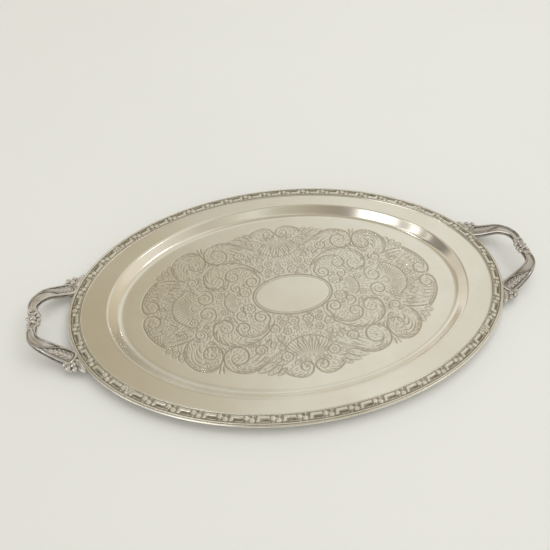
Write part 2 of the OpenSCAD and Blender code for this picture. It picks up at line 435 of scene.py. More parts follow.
def fan(centre, inner, outer, start, end, ribs, width=1.0, bow=0.12):
    """Shell fan: ribs that spread from a hinge, slightly bowed, closed by a scalloped edge."""
    centre = np.array(centre, float)
    turns = np.linspace(math.radians(start), math.radians(end), ribs)
    for k, turn in enumerate(turns):
        lean = bow * (k - (ribs - 1) / 2) / ribs
        points = []
        for share in (0, 0.5, 1):
            heading = turn + lean * (1 - (2 * share - 1) ** 2)
            points.append(centre + (inner + (outer - inner) * share) * around(heading))
        engrave(through(points), width, (0.4, 0.25), 0.85)
    for a, b in zip(turns[:-1], turns[1:]):
        scallop = [outer * around(a), (outer + 1.6) * around((a + b) / 2), outer * around(b)]
        engrave(centre + through(scallop), width * 1.1, (0.1, 0.1))


def draw_outer_scrolls():
    """Scrolls and leaves that make the scalloped outline, from the short axis to the long one."""
    notch = volute([
        (36, 107), (29, 114.5), (20, 119), (12, 119.5), (5, 116), (1.2, 109)], (9.5, 107.5), 1.25)
    fronds(notch, 0.0, 0.5, 4, 9, 0.7)
    for root, tip in (((30, 104), (43, 113)), ((34, 100), (54, 110)), ((38, 95), (64, 105))):
        leaf(root, tip, 0.16, 2)
    wide = volute([
        (46, 86), (52, 94), (60, 99.5), (70, 102.5), (80, 101.5), (89, 97), (95.5, 89), (96.5, 79)],
        (80.5, 80), 1.45, 1.9)
    fronds(wide, 0.0, 0.62, 7, 13, -0.5, 1.4)
    strokes([
        [(50, 84), (57, 90), (66, 94)], [(53, 80), (60, 85.5), (67, 88.5)],
        [(57, 77), (62, 81), (67, 83)], [(74, 97), (81, 95), (86, 90)], [(80, 93), (86, 88), (88, 82)]],
        1.4, (0.1, 0.6))
    strokes([[(96.5, 85), (98.5, 91), (99, 98)], [(101, 87), (102.5, 92), (104.5, 97)]], 1.6, (0.5, 0.1))
    big = volute([
        (124, 44), (133, 50), (138, 60), (138, 71), (132.5, 82), (123, 90), (112, 92.5), (103, 88),
        (97.5, 79), (96.5, 70)], (108.5, 70), 1.3, 1.9)
    fronds(big, 0.12, 0.7, 8, 13, 0.55, 1.4)
    strokes([
        [(105, 85), (115, 87), (125, 82), (130.5, 72), (130, 62)],
        [(111, 80.5), (120, 80.5), (126, 74), (127, 64)], [(117, 74), (122, 72), (124.5, 65), (123, 57)],
        [(119, 66), (121, 61), (119.5, 54)]], 1.5, (0.1, 0.6))
    for root, tip in (((138, 60), (143, 74)), ((143, 57), (151.5, 67)), ((149, 53), (159, 59))):
        leaf(root, tip, 0.26, 2)
    strokes([[(122, 42), (132, 46.5), (144, 49.5), (156, 49), (165, 44)]], 2.1, (0.3, 0.4))
    strokes([[(128, 39), (139, 43), (150, 44.5), (160, 43)]], 1.4, (0.3, 0.5))
    end = volute([
        (154, 54), (162, 47), (170, 37.5), (175.5, 27), (178.3, 15), (177, 6)], (168, 12.5), 1.3, 2.0)
    fronds(end, 0.1, 0.72, 8, 11, -0.75, 1.3)
    starts = ((150, 37), (153, 32), (156, 27), (157, 22))
    strokes([[(x, y - 3), (x + 8, y), (x + 17, y + 0.5)] for x, y in starts], 1.2, (0.3, 0.4))


def draw_inner_scrolls():
    """Scrolls between the outline and the cartouche, with their leaf folds."""
    bow = volute([
        (29, 33), (34, 44), (43, 54), (55, 62), (69, 65.5), (83, 64), (94, 58), (101, 49), (102, 38)],
        (88.5, 36.5), 1.3, 1.9)
    fronds(bow, 0.35, 0.95, 8, 11, -0.65, 1.3)
    hook = volute([
        (37, 33), (38.5, 43), (44, 50.5), (54, 55), (64, 54.5), (72, 50), (76, 42)], (67, 41), 1.3, 1.7)
    fronds(hook, 0.1, 0.7, 6, 10, -0.6, 1.2)
    for points, centre, turns, width in (
        ([(37, 40), (34.5, 31), (37.5, 23)], (44.5, 28.5), 1.5, 1.6),
        ([(110, 26), (101, 24), (95.5, 17), (96, 8)], (105, 12), 1.4, 1.6),
        ([(60, 31), (67, 30), (72, 25), (71, 19)], (66, 21), 1.2, 1.4),
        ([(112, 50), (109, 43), (112, 36), (119, 35)], (116.5, 41), 1.2, 1.4),
        ([(30, 56), (27, 50), (29, 44)], (33.5, 49), 1.1, 1.3),
        ([(48, 80), (47, 73), (52, 69), (58, 71)], (54, 76), 1.2, 1.4),
        ([(88, 72), (86, 68)], (90, 68), 0.9, 1.2)):
        volute(points, centre, turns, width)
    for x, y, radius, petals in (
        (56, 13.5, 7.4, 7), (19, 55, 4.6, 5), (9, 41, 6.4, 6), (21.5, 42, 4.0, 5), (27, 90, 6.6, 8),
        (122, 21, 4.8, 5), (136, 40, 4.4, 6), (85, 13, 4.2, 5), (148, 8, 5.0, 6)):
        flower((x, y), radius, petals)


def draw_shells():
    """Shell fans on both axes, a row of short ribs, and the two lines round the cartouche."""
    fan((0, 99), 9, 33, -90, -34, 9, 1.2, 0.25)
    fan((0, 96), 3, 12, -10, 60, 6, 1.0)
    fan((117, 0), 7, 27, 0, 62, 9, 1.2, 0.2)
    quarter = np.linspace(0, math.pi / 2, 80)
    engrave([117, 0] + 5.5 * around(np.linspace(0, math.pi / 2, 17)), 1.3, (0.02, 0.02))
    fan((64, 0), 6, 18, 0, 58, 7, 1.1, 0.2)
    for k in range(7):
        engrave([(31 + 2.7 * k, 78 + 1.6 * k), (35 + 2.7 * k, 87 + 1.5 * k)], 1.1, (0.2, 0.3), 0.9)
    for grow, width in ((0.4, 1.2), (3.2, 2.3)):
        engrave(oval(CARTOUCHE, quarter, grow), width, EVEN)


def draw_foliage():
    """Short curled strokes over the ground that the scrolls leave free, as the folds of small leaves."""
    chance = np.random.default_rng(5)
    step = 3.1
    for y in np.arange(1.5, PATTERN_W, step):
        for x in np.arange(1.5, PATTERN_L, step):
            spot = np.array([x, y]) + chance.uniform(-0.9, 0.9, 2)
            edge = float(outline_radius(math.atan2(spot[1], spot[0]))) - math.hypot(*spot)
            middle = math.hypot(spot[0] / (CARTOUCHE[0] + 7), spot[1] / (CARTOUCHE[1] + 7))
            row, col = (spot[::-1] / CELL).astype(int)
            near = cut[max(row - 4, 0):row + 5, max(col - 4, 0):col + 5]
            if edge < 2.5 or middle < 1 or near.size == 0 or near.max() > 0.25:
                continue
            ahead = around(math.atan2(y - 52, x - 92) + 1.2 + 0.6 * math.sin(x / 11) * math.cos(y / 13))
            aside = np.array([-ahead[1], ahead[0]])
            curl = through([spot - 2.3 * ahead, spot + 0.7 * aside, spot + 2.3 * ahead])
            engrave(curl, 1.05, (0.15, 0.6), 0.8)


def draw_fillers():
    """Small leaves, tendrils and dots that fill the ground between the scrolls."""
    for x, y, tip_x, tip_y in (
        (62, 70, 53, 63), (66, 71, 64, 63), (100, 62, 93, 72), (103, 57, 110, 52), (108, 46, 103, 36),
        (106, 34, 112, 27), (118, 30, 128, 33), (126, 27, 138, 30), (78, 24, 88, 22), (80, 21, 76, 30),
        (92, 22, 99, 29), (24, 66, 34, 60), (24, 72, 37, 70), (22, 80, 35, 76), (40, 62, 46, 70),
        (36, 66, 42, 76), (14, 96, 21, 103), (18, 92, 18, 84), (33, 90, 42, 96), (140, 26, 152, 24),
        (138, 20, 150, 16), (12, 50, 4, 54), (27, 36, 22, 31), (9, 33, 16, 31), (54, 26, 59, 23),
        (64, 8, 64, 16), (108, 60, 103, 66), (118, 50, 124, 46), (160, 8, 152, 3), (145, 36, 134, 33)):
        leaf((x, y), (tip_x, tip_y), 0.24, 1, 1.1)
    for x, y in (
        (14, 62), (24, 62), (31, 72), (46, 64), (5, 49), (15, 36), (30, 27), (50, 21), (62, 22),
        (48, 5), (66, 4), (76, 19), (92, 14), (92, 6), (113, 20), (128, 15), (100, 32), (84, 28),
        (110, 32), (58, 67), (70, 68), (128, 40), (142, 43), (156, 15), (160, 27), (146, 30),
        (88, 66), (20, 98), (8, 98), (36, 84), (126, 52), (112, 57)):
        engrave([(x - 0.15, y), (x + 0.15, y)], 2.0, EVEN)
    strokes([
        [(24, 76), (32, 66), (30, 58)], [(38, 58), (48, 68), (60, 68)], [(98, 66), (104, 54), (112, 54)],
        [(76, 28), (72, 36), (76, 40)], [(112, 16), (120, 28), (132, 26)],
        [(26, 96), (34, 100), (46, 96)], [(128, 34), (140, 36), (150, 30)],
        [(140, 12), (150, 20), (160, 18)], [(10, 66), (12, 78), (8, 88)], [(86, 20), (92, 28), (104, 28)],
        [(4, 60), (5, 72), (3, 84)], [(114, 58), (112, 66), (120, 70)]], 1.2, (0.3, 0.4))


# Scalloped outline of the quarter pattern, from the short axis to the long one
OUTLINE = np.array([
    (0, 110), (6, 117), (14, 120), (24, 118), (36, 113), (46, 111.5), (56, 108), (64, 102.5), (76, 103),
    (88, 99), (98, 96), (104, 91), (118, 93), (130, 87), (138, 76), (143, 73), (150, 66), (158, 58),
    (166, 46), (173, 35), (178, 22), (180, 12), (177, 0)], float)[::-1]


def outline_radius(angle):
    """Distance from the middle of the tray to the outline of the pattern."""
    x, y = OUTLINE.T
    return np.interp(angle, np.arctan2(y, x), np.hypot(x, y))


def blurred(field):
    """Average of each cell with its neighbours."""
    wide = np.pad(field, 1, mode="edge")
    rows = (wide[:-2] + 2 * wide[1:-1] + wide[2:]) / 4
    return (rows[:, :-2] + 2 * rows[:, 1:-1] + rows[:, 2:]) / 4


draw_outer_scrolls()
draw_inner_scrolls()
draw_shells()
draw_fillers()
draw_foliage()
cut = blurred(cut)


def pattern_at(x, y):
    """Depth of cut, and whether the point is inside the pattern, both from 0 to 1."""
    x, y = np.abs(x), np.abs(y) / PATTERN_SQUASH
    col = np.clip(x / CELL, 0, cut.shape[1] - 2)
    row = np.clip(y / CELL, 0, cut.shape[0] - 2)
    c, r = col.astype(int), row.astype(int)
    fc, fr = col - c, row - r
    value = (cut[r, c] * (1 - fc) * (1 - fr) + cut[r, c + 1] * fc * (1 - fr)
             + cut[r + 1, c] * (1 - fc) * fr + cut[r + 1, c + 1] * fc * fr)
    edge = outline_radius(np.arctan2(y, x)) - np.hypot(x, y)
    plain = np.hypot(x / (CARTOUCHE[0] + 2), y / (CARTOUCHE[1] + 2))
    return value, smooth(-0.5, 1.5, edge) * smooth(0.98, 1.04, plain)


# ---- tray body

def wall_profile(depth, steps):
    """Section of one face of the wall as (distance outside the well's edge, height), from the foot up."""
    drop = FLANGE_TOP - SHEET - (SHOULDER_R + FOOT_R) * (1 - math.cos(WALL_SLOPE))
    wide = (SHOULDER_R + FOOT_R) * math.sin(WALL_SLOPE) + drop / math.tan(WALL_SLOPE)
    foot = [(-wide + (FOOT_R + depth) * math.sin(a), SHEET + FOOT_R - (FOOT_R + depth) * math.cos(a))
            for a in np.linspace(0, WALL_SLOPE, steps)]
    shoulder = [(-(SHOULDER_R - depth) * math.sin(a),
                 FLANGE_TOP - SHOULDER_R + (SHOULDER_R - depth) * math.cos(a))
                for a in np.linspace(WALL_SLOPE, 0, steps)]
    return foot + shoulder


def body_height(x, y):
    """Slight unevenness of the pressed sheet, from wear and use."""
    return 0.06 * ripple(x, y, size=95, seed=3) + 0.012 * ripple(x, y, size=24, seed=4)


# Oxide of the engraved ground and of a cut, and the painted shade that darkens the wall on one side
GROUND_OXIDE, CUT_OXIDE, WALL_PAINTED_SHADE = 0.12, 0.66, 0.24
# Side of the wall round which the painted shade is darkest
SHADED_WALL_SIDE = math.radians(222)
# Cells of the engraved floor along and across the tray
FLOOR_CELLS = (560, 370)


def build_body():
    """Pressed sheet: engraved floor, wall and flange, then the underside, as one closed skin."""
    across, down = FLOOR_CELLS
    # A square grid, drawn out to fill the oval
    u = np.linspace(-1, 1, across + 1)[None, :]
    v = np.linspace(-1, 1, down + 1)[:, None]
    x = (PATTERN_L * u * np.sqrt(1 - v * v / 2)).ravel()
    y = (PATTERN_W * v * np.sqrt(1 - u * u / 2)).ravel()
    depth, inside = pattern_at(x, y)
    z = SHEET + body_height(x, y) - LINE_DEPTH * depth
    points = [np.stack([x, y, z], 1)]
    oxide_and_shade = [GROUND_OXIDE * inside + CUT_OXIDE * depth]
    grid = np.arange((down + 1) * (across + 1)).reshape(down + 1, across + 1)
    faces = np.stack([grid[:-1, :-1], grid[:-1, 1:], grid[1:, 1:], grid[1:, :-1]], -1)
    faces = faces.reshape(-1, 4).tolist()

    # Rings outside the floor: plan, height, and their share of the sheet's unevenness
    border = np.r_[grid[0, :-1], grid[:-1, -1], grid[-1, :0:-1], grid[:0:-1, 0]]
    count = len(border)
    angle = np.arctan2(y[border] / PATTERN_W, x[border] / PATTERN_L)
    inner = np.stack([x[border], y[border]], 1)
    face_up = wall_profile(0, 9)
    foot = oval(WELL, angle, face_up[0][0])
    shoulder = oval(WELL, angle)
    flange = oval(RIM, angle, -SHEET_EDGE) - shoulder
    rings = [(inner + (foot - inner) * share, SHEET, 1.0) for share in (0.25, 0.5, 0.75)]
    shaded_wall_rings = range(len(rings), len(rings) + len(face_up))
    rings += [(oval(WELL, angle, out), height, 0.4) for out, height in face_up]
    rings += [(shoulder + flange * share, FLANGE_TOP, 0.7 * (1 - share))
              for share in (0.06, 0.14, 0.24, 0.36, 0.5, 0.64, 0.78, 0.9, 1.0)]
    rings += [(shoulder + flange * share, FLANGE_TOP - SHEET, 0.0) for share in (1.0, 0.6, 0.25)]
    rings += [(oval(WELL, angle, out), height, 0.0) for out, height in wall_profile(SHEET, 5)[::-1]]
    rings += [(foot * share, 0.0, 0.0) for share in (0.9, 0.6, 0.3)]
    for number, (plan, height, uneven) in enumerate(rings):
        points.append(np.column_stack([plan, height + uneven * body_height(plan[:, 0], plan[:, 1])]))
        # Painted shade: the wall rings are darkened round one side, through the oxide attribute
        oxide_and_shade.append(WALL_PAINTED_SHADE * smooth(0.72, 0.95, np.cos(angle - SHADED_WALL_SIDE)) * (number in shaded_wall_rings))
    first = len(grid.ravel())
    faces += [[int(border[k]), int(border[(k + 1) % count]), first + (k + 1) % count, first + k]
              for k in range(count)]
    faces += loop_quads(len(rings), count, first=first)
    last = first + (len(rings) - 1) * count
    faces.append([last + k for k in range(count)])
    points, oxide_and_shade = np.vstack(points), np.concatenate(oxide_and_shade)
    make_piece("tray_body", points, faces, "plated_sheet", oxide_and_shade, sharp=50)


# ---- wires

def build_wire(name, out, z, radius, turns, dent):
    """Wire round the whole oval, with its section as turns in degrees, and slight dents along it."""
    count = 900
    angle = np.linspace(0, math.tau, count, endpoint=False)
    centre = oval(RIM, angle, out)
    swell = radius * (1 - dent * (0.5 + 0.5 * ripple(*centre.T, size=60, seed=11)) ** 2)
    points = []
    for turn in np.radians(turns):
        plan = oval(RIM, angle, out + swell * math.cos(turn))
        points.append(np.column_stack([plan, z + swell * math.sin(turn)]))
    faces = loop_quads(count, len(turns), closed_rings=True)
    points = np.stack(points, 1).reshape(-1, 3)
    make_piece(name, points, faces, "plated_wire", np.zeros(len(points)))


# ---- border

# Length of one repeat of the ornament, and where the first one starts along a length of border
PITCH, PHASE = 27.0, 2.4
# Width of the border that border_relief is drawn at
DRAWN_WIDE = 11
# Height of the lowest ground over the flange, and of the relief from there to the highest ornament
GROUND = 0.6
RELIEF = border_high[2] - FLANGE_TOP - GROUND
# How far each applied piece is let into the flange
SUNK = 0.02
# Angle of the joints between the four lengths, and how long a plain lapped end is
JOINT = 38
LAP = 6.5


def plateau(u, v, u0, u1, v0, v1, edge=0.5):
    """Flat-topped block with soft edges."""
    return (smooth(u0 - edge, u0 + edge, u) * smooth(u1 + edge, u1 - edge, u)
            * smooth(v0 - edge, v0 + edge, v) * smooth(v1 + edge, v1 - edge, v))


def bloom(du, dv, radius, petals):
    """Flower in relief: a low dome cut into round petals, with a button in the middle."""
    rho = np.hypot(du, dv) / radius
    wave = np.cos(petals * np.arctan2(dv, du))
    lobes = 0.93 + 0.07 * wave
    dome = np.clip(1 - (rho / lobes) ** 2, 0, 1) ** 0.4
    furrow = smooth(0.35, 0.6, rho) * smooth(-0.2, -1.0, wave) * 0.25
    groove = 0.24 * np.exp(-((rho - 0.4) / 0.1) ** 2)
    return np.clip(dome * (1 - furrow - groove), 0, 1)


def border_relief(u, v):
    """Height of one repeat of the ornament, from 0 to 1; u runs along it and v from its inner side out."""
    height = 0.3 + 0.06 * np.sin(u * 2.3 + 1) * np.sin(v * 2.9)
    foot = 0.22 * (v - 2.4)
    parts = [
        # The hooked bar
        plateau(u, v, 1.9, 14.4, 1.5, 4.5),
        0.95 * plateau(u + foot, v, 1.9, 5.1, 2.4, 8.0),
        0.62 * plateau(u, v, 6.4, 15.2, 7.6, 8.5, 0.45),
        # Two rosettes with buds beside them
        bloom(u - 18.1, v - 3.8, 3.2, 5),
        bloom(u - 23.7, v - 6.1, 3.2, 5),
        0.7 * bloom(u - 24.3, v - 1.6, 1.6, 3),
        0.7 * bloom(u - 17.8, v - 8.3, 1.4, 3),
        0.6 * bloom(u - 26.9, v - 2.2, 1.2, 3),
        # The raised edges
        0.7 * smooth(0.9, 0.4, v),
        0.85 * smooth(9.3, 10.0, v),
    ]
    for part in parts:
        height = np.maximum(height, part)
    hollow = plateau(u, v, 6.2, 14.2, 5.4, 6.8, 0.5)
    groove = np.exp(-((v - 9.2) / 0.28) ** 2)
    return np.clip(height * (1 - hollow) + 0.08 * hollow - 0.35 * groove, 0, 1)


def build_border(name, start, end):
    """One length of the applied border, with a whole number of repeats and plain lapped ends."""
    fine = np.radians(np.linspace(start, end, 2000))
    middle = oval(RIM, fine, STRIP_WIDE / 2 - STRIP_INNER)
    travel = np.r_[0, np.cumsum(np.linalg.norm(np.diff(middle, axis=0), axis=1))]
    reach = travel[-1]
    repeats = round(reach / PITCH)
    along, across = int(reach / 0.42), 30
    at = np.linspace(0, reach, along + 1)
    angle = np.interp(at, travel, fine)
    v = np.linspace(0, STRIP_WIDE, across + 1)
    u = ((at - PHASE) / reach * repeats % 1) * PITCH
    grid_u, grid_v = np.meshgrid(u, v, indexing="ij")
    relief = border_relief(grid_u, grid_v * DRAWN_WIDE / STRIP_WIDE)
    wear = 0.09 * ripple(at[:, None], grid_v, size=4.2, seed=21)
    lap = np.minimum(at, reach - at)[:, None] + 0.5 * grid_v
    relief = np.where(lap < LAP, 0.62 + 0.2 * np.sin(lap * 1.9), relief + wear * smooth(0.2, 0.6, relief))
    relief = np.clip(relief, 0, 1)
    plan = oval(RIM, angle[:, None] + 0 * grid_v, grid_v - STRIP_INNER)
    top = np.dstack([plan, FLANGE_TOP + GROUND + RELIEF * relief])
    under = [np.column_stack([plan[:, k], np.full(along + 1, FLANGE_TOP - SUNK)]) for k in (-1, 0)]
    section = np.concatenate([top, np.stack(under, 1)], 1)
    dark = np.concatenate([1 - smooth(0.12, 0.8, relief), np.ones((along + 1, 2))], 1) * 0.95
    faces = tube_faces(along + 1, across + 3)
    make_piece(name, section.reshape(-1, 3), faces, "plated_border", dark.ravel())


# ---- handles

# Middle of an arm from its foot to the knop, measured from the middle of the grip and from its top
ARM_ROUTE = np.array([
    (-41.2, 51.4, -20.2), (-35.6, 48, -18), (-25.6, 43.5, -13.5), (-13.6, 37.5, -7.6),
    (-5, 31, -5.6), (0, 25, -5.7), (1.6, 18, -5), (0.4, KNOP_HALF - 0.6, -3.8)]) + (GRIP_X, 0, GRIP_TOP)
# Width and height of an arm at its leaf and at its neck
LEAF_W, NECK_W = 20.0, 10.2
LEAF_H, NECK_H = 7.4, 7.0
# Length and lean in radians of the two small leaves beside each flower, and their width
SPRIG_L, SPRIG_LEAN, SPRIG_W = 4.4, 0.5, 2.2
# Flowers of the leaf recess, as shares of the arm's length
LEAF_FLOWERS = [0.12 + 0.074 * k for k in range(7)]


def leaf_shape(du, dv, heading, length, width):
    """Leaf in relief, pointed at both ends, with a sunk midrib."""
    along = du * math.cos(heading) + dv * math.sin(heading)
    aside = dv * math.cos(heading) - du * math.sin(heading)
    half = width / 2 * np.clip(1 - (2 * along / length) ** 2, 0, 1)
    body = np.sqrt(np.clip(1 - (aside / np.maximum(half, 1e-3)) ** 2, 0, 1)) * (np.abs(along) < length / 2)
    return body * (1 - 0.4 * np.exp(-(aside / 0.25) ** 2))


def leaf_side(s):
    """Where the leaf recess gives way to the plain channel, across the arm from -1 to 1."""
    return -0.72 + 1.44 * smooth(0.2, 0.7, s)


def arm_relief(s, w, along, aside, length):
    """Relief of an arm's upper face in mm, and the oxide in its recesses."""
    # What stands up: the two sides, the ridge between leaf and channel, and the ends of both recesses
    side = smooth(0.52, 0.72, np.abs(w)) * smooth(1.0, 0.86, np.abs(w))
    ridge = np.exp(-((w - leaf_side(s)) / 0.15) ** 2) * smooth(0.16, 0.28, s) * smooth(0.76, 0.68, s)
    inner = np.abs(w) < 0.72
    spoon = smooth(0.06, 0.03, s - 0.085 * (1 - np.sqrt(np.clip(1 - (w / 0.74) ** 2, 0, 1)))) * inner
    arch = smooth(0.925, 0.955, s + 0.035 * (w / 0.6) ** 2) * inner
    wall = np.clip(np.maximum.reduce([side, 0.85 * ridge, spoon, arch]), 0, 1)
    leafy = smooth(-0.04, 0.06, w - leaf_side(s)) * smooth(0.68, 0.62, s) * smooth(0.05, 0.1, s)
    flowers = np.zeros_like(s + w)
    for share in LEAF_FLOWERS:
        middle = (0.6 + max(-0.6, float(leaf_side(share)))) / 2
        half = float(arm_width(share)) / 2
        room = (0.64 - middle) * half
        rosette = bloom(along - share * length, aside - middle * half, min(room, 3.0), 5)
        flowers = np.maximum(flowers, rosette)
        for turn in (-1, 1):
            ahead_by = along - (share + 0.036) * length
            aside_by = aside - middle * half - 0.55 * turn * room
            sprig = leaf_shape(ahead_by, aside_by, SPRIG_LEAN * turn, SPRIG_L, SPRIG_W)
            flowers = np.maximum(flowers, 0.8 * sprig)
    floor = -1.5 + 0.45 * smooth(0.5, 0.0, np.abs(w)) * (1 - leafy) + 1.35 * leafy * flowers
    relief = floor * (1 - wall) + 0.35 * wall
    outline = smooth(0.0, 0.35, wall) * smooth(0.95, 0.5, wall)
    dark = 0.06 + 0.47 * leafy * smooth(0.7, 0.1, flowers) + 0.95 * outline
    return relief, np.clip(dark * (1 - smooth(0.6, 1.0, wall)), 0.05, 1)


def arm_width(s):
    """Width of an arm at a share of its length from the foot."""
    return NECK_W + (LEAF_W - NECK_W) * np.cos(np.clip(s, 0, 1) * math.pi / 2) ** 1.4


def swept(path, ahead, side, rise):
    """Points and faces of a tube, from its section's distances to the left of a path and up from it."""
    ahead = ahead / np.linalg.norm(ahead, axis=1)[:, None]
    across = np.cross((0, 0, 1), ahead)
    across /= np.maximum(np.linalg.norm(across, axis=1)[:, None], 1e-6)
    up = np.cross(ahead, across)
    points = path[:, None] + across[:, None] * side[..., None] + up[:, None] * rise[..., None]
    return points.reshape(-1, 3), tube_faces(*side.shape)


def build_arm():
    """Far arm of the right handle: a loft along its route with a modelled upper face."""
    step = 0.4
    route = evenly(through(ARM_ROUTE, 40), step)
    count = len(route)
    length = (count - 1) * step
    s = np.linspace(0, 1, count)
    # The arm enters the knop squarely
    ahead = np.gradient(route, axis=0)
    ahead[-3:] = (0, -1, 0)
    # The foot is rounded off over its first few millimetres
    nose = np.sqrt(np.clip(1 - (1 - np.clip(s * length / 3.2, 0, 1)) ** 2, 0, 1))
    width = arm_width(s) * (0.45 + 0.55 * nose)
    height = (LEAF_H * (1 - s) + NECK_H * s) * (0.45 + 0.55 * nose)

    # Section as shares of the width and the height: a full upper face, and a rounder underside
    top_steps, under_steps = 54, 22
    w_top = np.sin(np.linspace(-1, 1, top_steps) * math.pi / 2 * 0.995)
    h_top = 0.5 * np.clip(1 - np.abs(w_top) ** 3.4, 0, 1) ** (1 / 3.4)
    turn = np.linspace(0, -math.pi, under_steps)[1:-1]
    w_under = np.sign(np.cos(turn)) * np.abs(np.cos(turn)) ** 0.8
    h_under = -0.5 * np.abs(np.sin(turn)) ** 0.8
    w = np.r_[w_top, w_under]
    h = np.r_[h_top, h_under]
    grid_s, grid_w = np.meshgrid(s, w_top, indexing="ij")
    aside = grid_w * width[:, None] / 2
    relief, oxide_and_shade_share = arm_relief(grid_s, grid_w, grid_s * length, aside, length)
    underside = ((0, 0), (0, len(w_under)))
    lift = np.pad(relief * smooth(0.0, 0.03, grid_s), underside)
    dark = np.pad(oxide_and_shade_share, underside, constant_values=0.12)
    return *swept(route, ahead, np.outer(width, w) / 2, np.outer(height, h) + lift), dark.ravel()


def ball(centre, radii, heading=0.0, sides=20):
    """Ellipsoid as points and faces, turned about Z by heading degrees."""
    lat = np.linspace(0.06, math.pi - 0.06, sides // 2 + 2)
    lon = np.linspace(0, math.tau, sides, endpoint=False)
    points = np.stack([np.outer(np.sin(lat), np.cos(lon)), np.outer(np.sin(lat), np.sin(lon)),
                       np.outer(np.cos(lat), np.ones(sides))], -1).reshape(-1, 3) * radii
    points = points @ np.array(Matrix.Rotation(math.radians(heading), 3, "Z")).T
    return points + centre, [face[::-1] for face in tube_faces(len(lat), sides)]


def rod(path, radii, sides=14, flat=1.0):
    """Tube along a path, with radii spaced evenly over its length, flattened in height."""
    path = evenly(through(path, 12), 0.7)
    share = np.linspace(0, 1, len(path))
    radius = np.interp(share, np.linspace(0, 1, len(radii)), radii)
    turn = np.linspace(0, math.tau, sides, endpoint=False)
    side, rise = np.outer(radius, np.cos(turn)), np.outer(radius * flat, np.sin(turn))
    return swept(path, np.gradient(path, axis=0), side, rise)


def fused(name, parts, cell):
    """Melts overlapping closed shapes into one casting: its points, its faces and its oxide."""
    points, faces, first = [], [], 0
    for part_points, part_faces in parts:
        points.append(part_points)
        faces += [[first + k for k in face] for face in part_faces]
        first += len(part_points)
    mesh = new_mesh(name, np.vstack(points), faces)
    block = place_in_scene(name, mesh)
    melt = block.modifiers.new("melt", "REMESH")
    melt.mode = "VOXEL"
    melt.voxel_size = cell * MM
    soft = block.modifiers.new("soft", "SMOOTH")
    soft.factor = 0.5
    soft.iterations = 2
    graph = bpy.context.evaluated_depsgraph_get()
    done = bpy.data.meshes.new_from_object(block.evaluated_get(graph))
    points = np.array([vertex.co for vertex in done.vertices]) / MM
    faces = [list(face.vertices) for face in done.polygons]
    bpy.data.objects.remove(block)
    bpy.data.meshes.remove(mesh)
    bpy.data.meshes.remove(done)
    return points, faces, hollows(points, faces)


def hollows(points, faces, reach=6):
    """Oxide in the hollows of a casting of quads, by how far each point lies under those in reach."""
    quads = np.array(faces)
    normal = np.zeros_like(points)
    cross = np.cross(points[quads[:, 2]] - points[quads[:, 0]], points[quads[:, 3]] - points[quads[:, 1]])
    for k in range(4):
        np.add.at(normal, quads[:, k], cross)
    normal /= np.maximum(np.linalg.norm(normal, axis=1)[:, None], 1e-9)
    level = points
    count = np.bincount(quads.ravel(), minlength=len(points))
    for _ in range(reach):
        total = np.zeros_like(level)
        for k in range(4):
            np.add.at(total, quads[:, k], (level[quads[:, (k + 1) % 4]] + level[quads[:, k - 1]]) / 2)
        level = total / count[:, None]
    under = ((level - points) * normal).sum(1)
    return np.clip(0.3 + under * 5.0, 0.06, 1)


def knop_parts():
    """Knop of the right handle: two arches bound by a collar, with beads inside and a spur outside."""
    top = knop_high[2]
    mid = GRIP_TOP - 3.9
    grip = np.array([GRIP_X, 0, mid])
    parts = [ball(grip + centre, radii) for centre, radii in (
        ((0.2, 0, 1), (5.2, 4.6, top - mid - 1.4)), ((5.4, 1.6, 0.6), (2.9, 2.3, 2.8)),
        ((-5.6, 3.4, 1.6), (3, 3, 3)), ((-4, 8, 1.6), (2.8, 2.8, 3)), ((-5.8, -2.4, 0.8), (2.9, 2.8, 2.9)),
        ((-4.6, -7.4, 1), (3.4, 3.3, 3.2)), ((2.2, 5.4, 2), (3.2, 2.6, 2.8)))]
    for side in (-1, 1):
        y = side * (KNOP_HALF - 4.0)
        end = side * (KNOP_HALF + 0.6)
        arch = np.array([
            (-4, end, 2), (-3.4, y, 2.8), (0.4, y - side * 2.6, 3.4), (4, y, 2.8), (4.9, end, 1.8)])
        core = np.array([(0.2, side * (KNOP_HALF + 0.4), -0.4), (0.2, 0, -0.6)])
        parts.append(rod(grip + arch, (1.5, 2.1, 1.5)))
        parts.append(rod(grip + core, (4.5, 4.0), sides=18, flat=0.8))
    return parts


def shell_parts():
    """Shell of the right handle's far arm: a tongue along the rim and three beads outside the arm."""
    low = wire_low[2]
    turn = np.arcsin(np.array([52, 55.5, 59, 62.5, 65.5, 68.5]) / RIM[1])
    tongue = np.column_stack([oval(RIM, turn, 2.4), np.full(len(turn), low + 0.4)])
    spot = np.array([GRIP_X - 40, 55, low])
    beads = [ball(spot + centre, radii) for centre, radii in (
        ((9.2, 0.6, 1), (3.2, 3.2, 3.2)), ((5.6, 6.2, 1.2), (3.4, 3.4, 3.4)),
        ((-1.2, 8.8, 1), (3.2, 3.2, 3.2)), ((0.6, 3.6, 2), (3.6, 3.4, 2.6)))]
    plate = ball(spot + (1, 1.5, -1.2), (10, 8.5, 3.4), heading=20, sides=32)
    return [rod(tongue, (3, 4.2, 4.4, 3.9, 2.9, 1.3), sides=24, flat=0.8), plate, *beads]


def build_casting(name, casting, left, near=False):
    """Piece of the right handle's far side, mirrored to another corner."""
    points, faces, oxide_and_shade = casting
    if left != near:
        faces = [face[::-1] for face in faces]
    flip = (-1 if left else 1, -1 if near else 1, 1)
    make_piece(name, points * flip, faces, "plated_casting", oxide_and_shade)


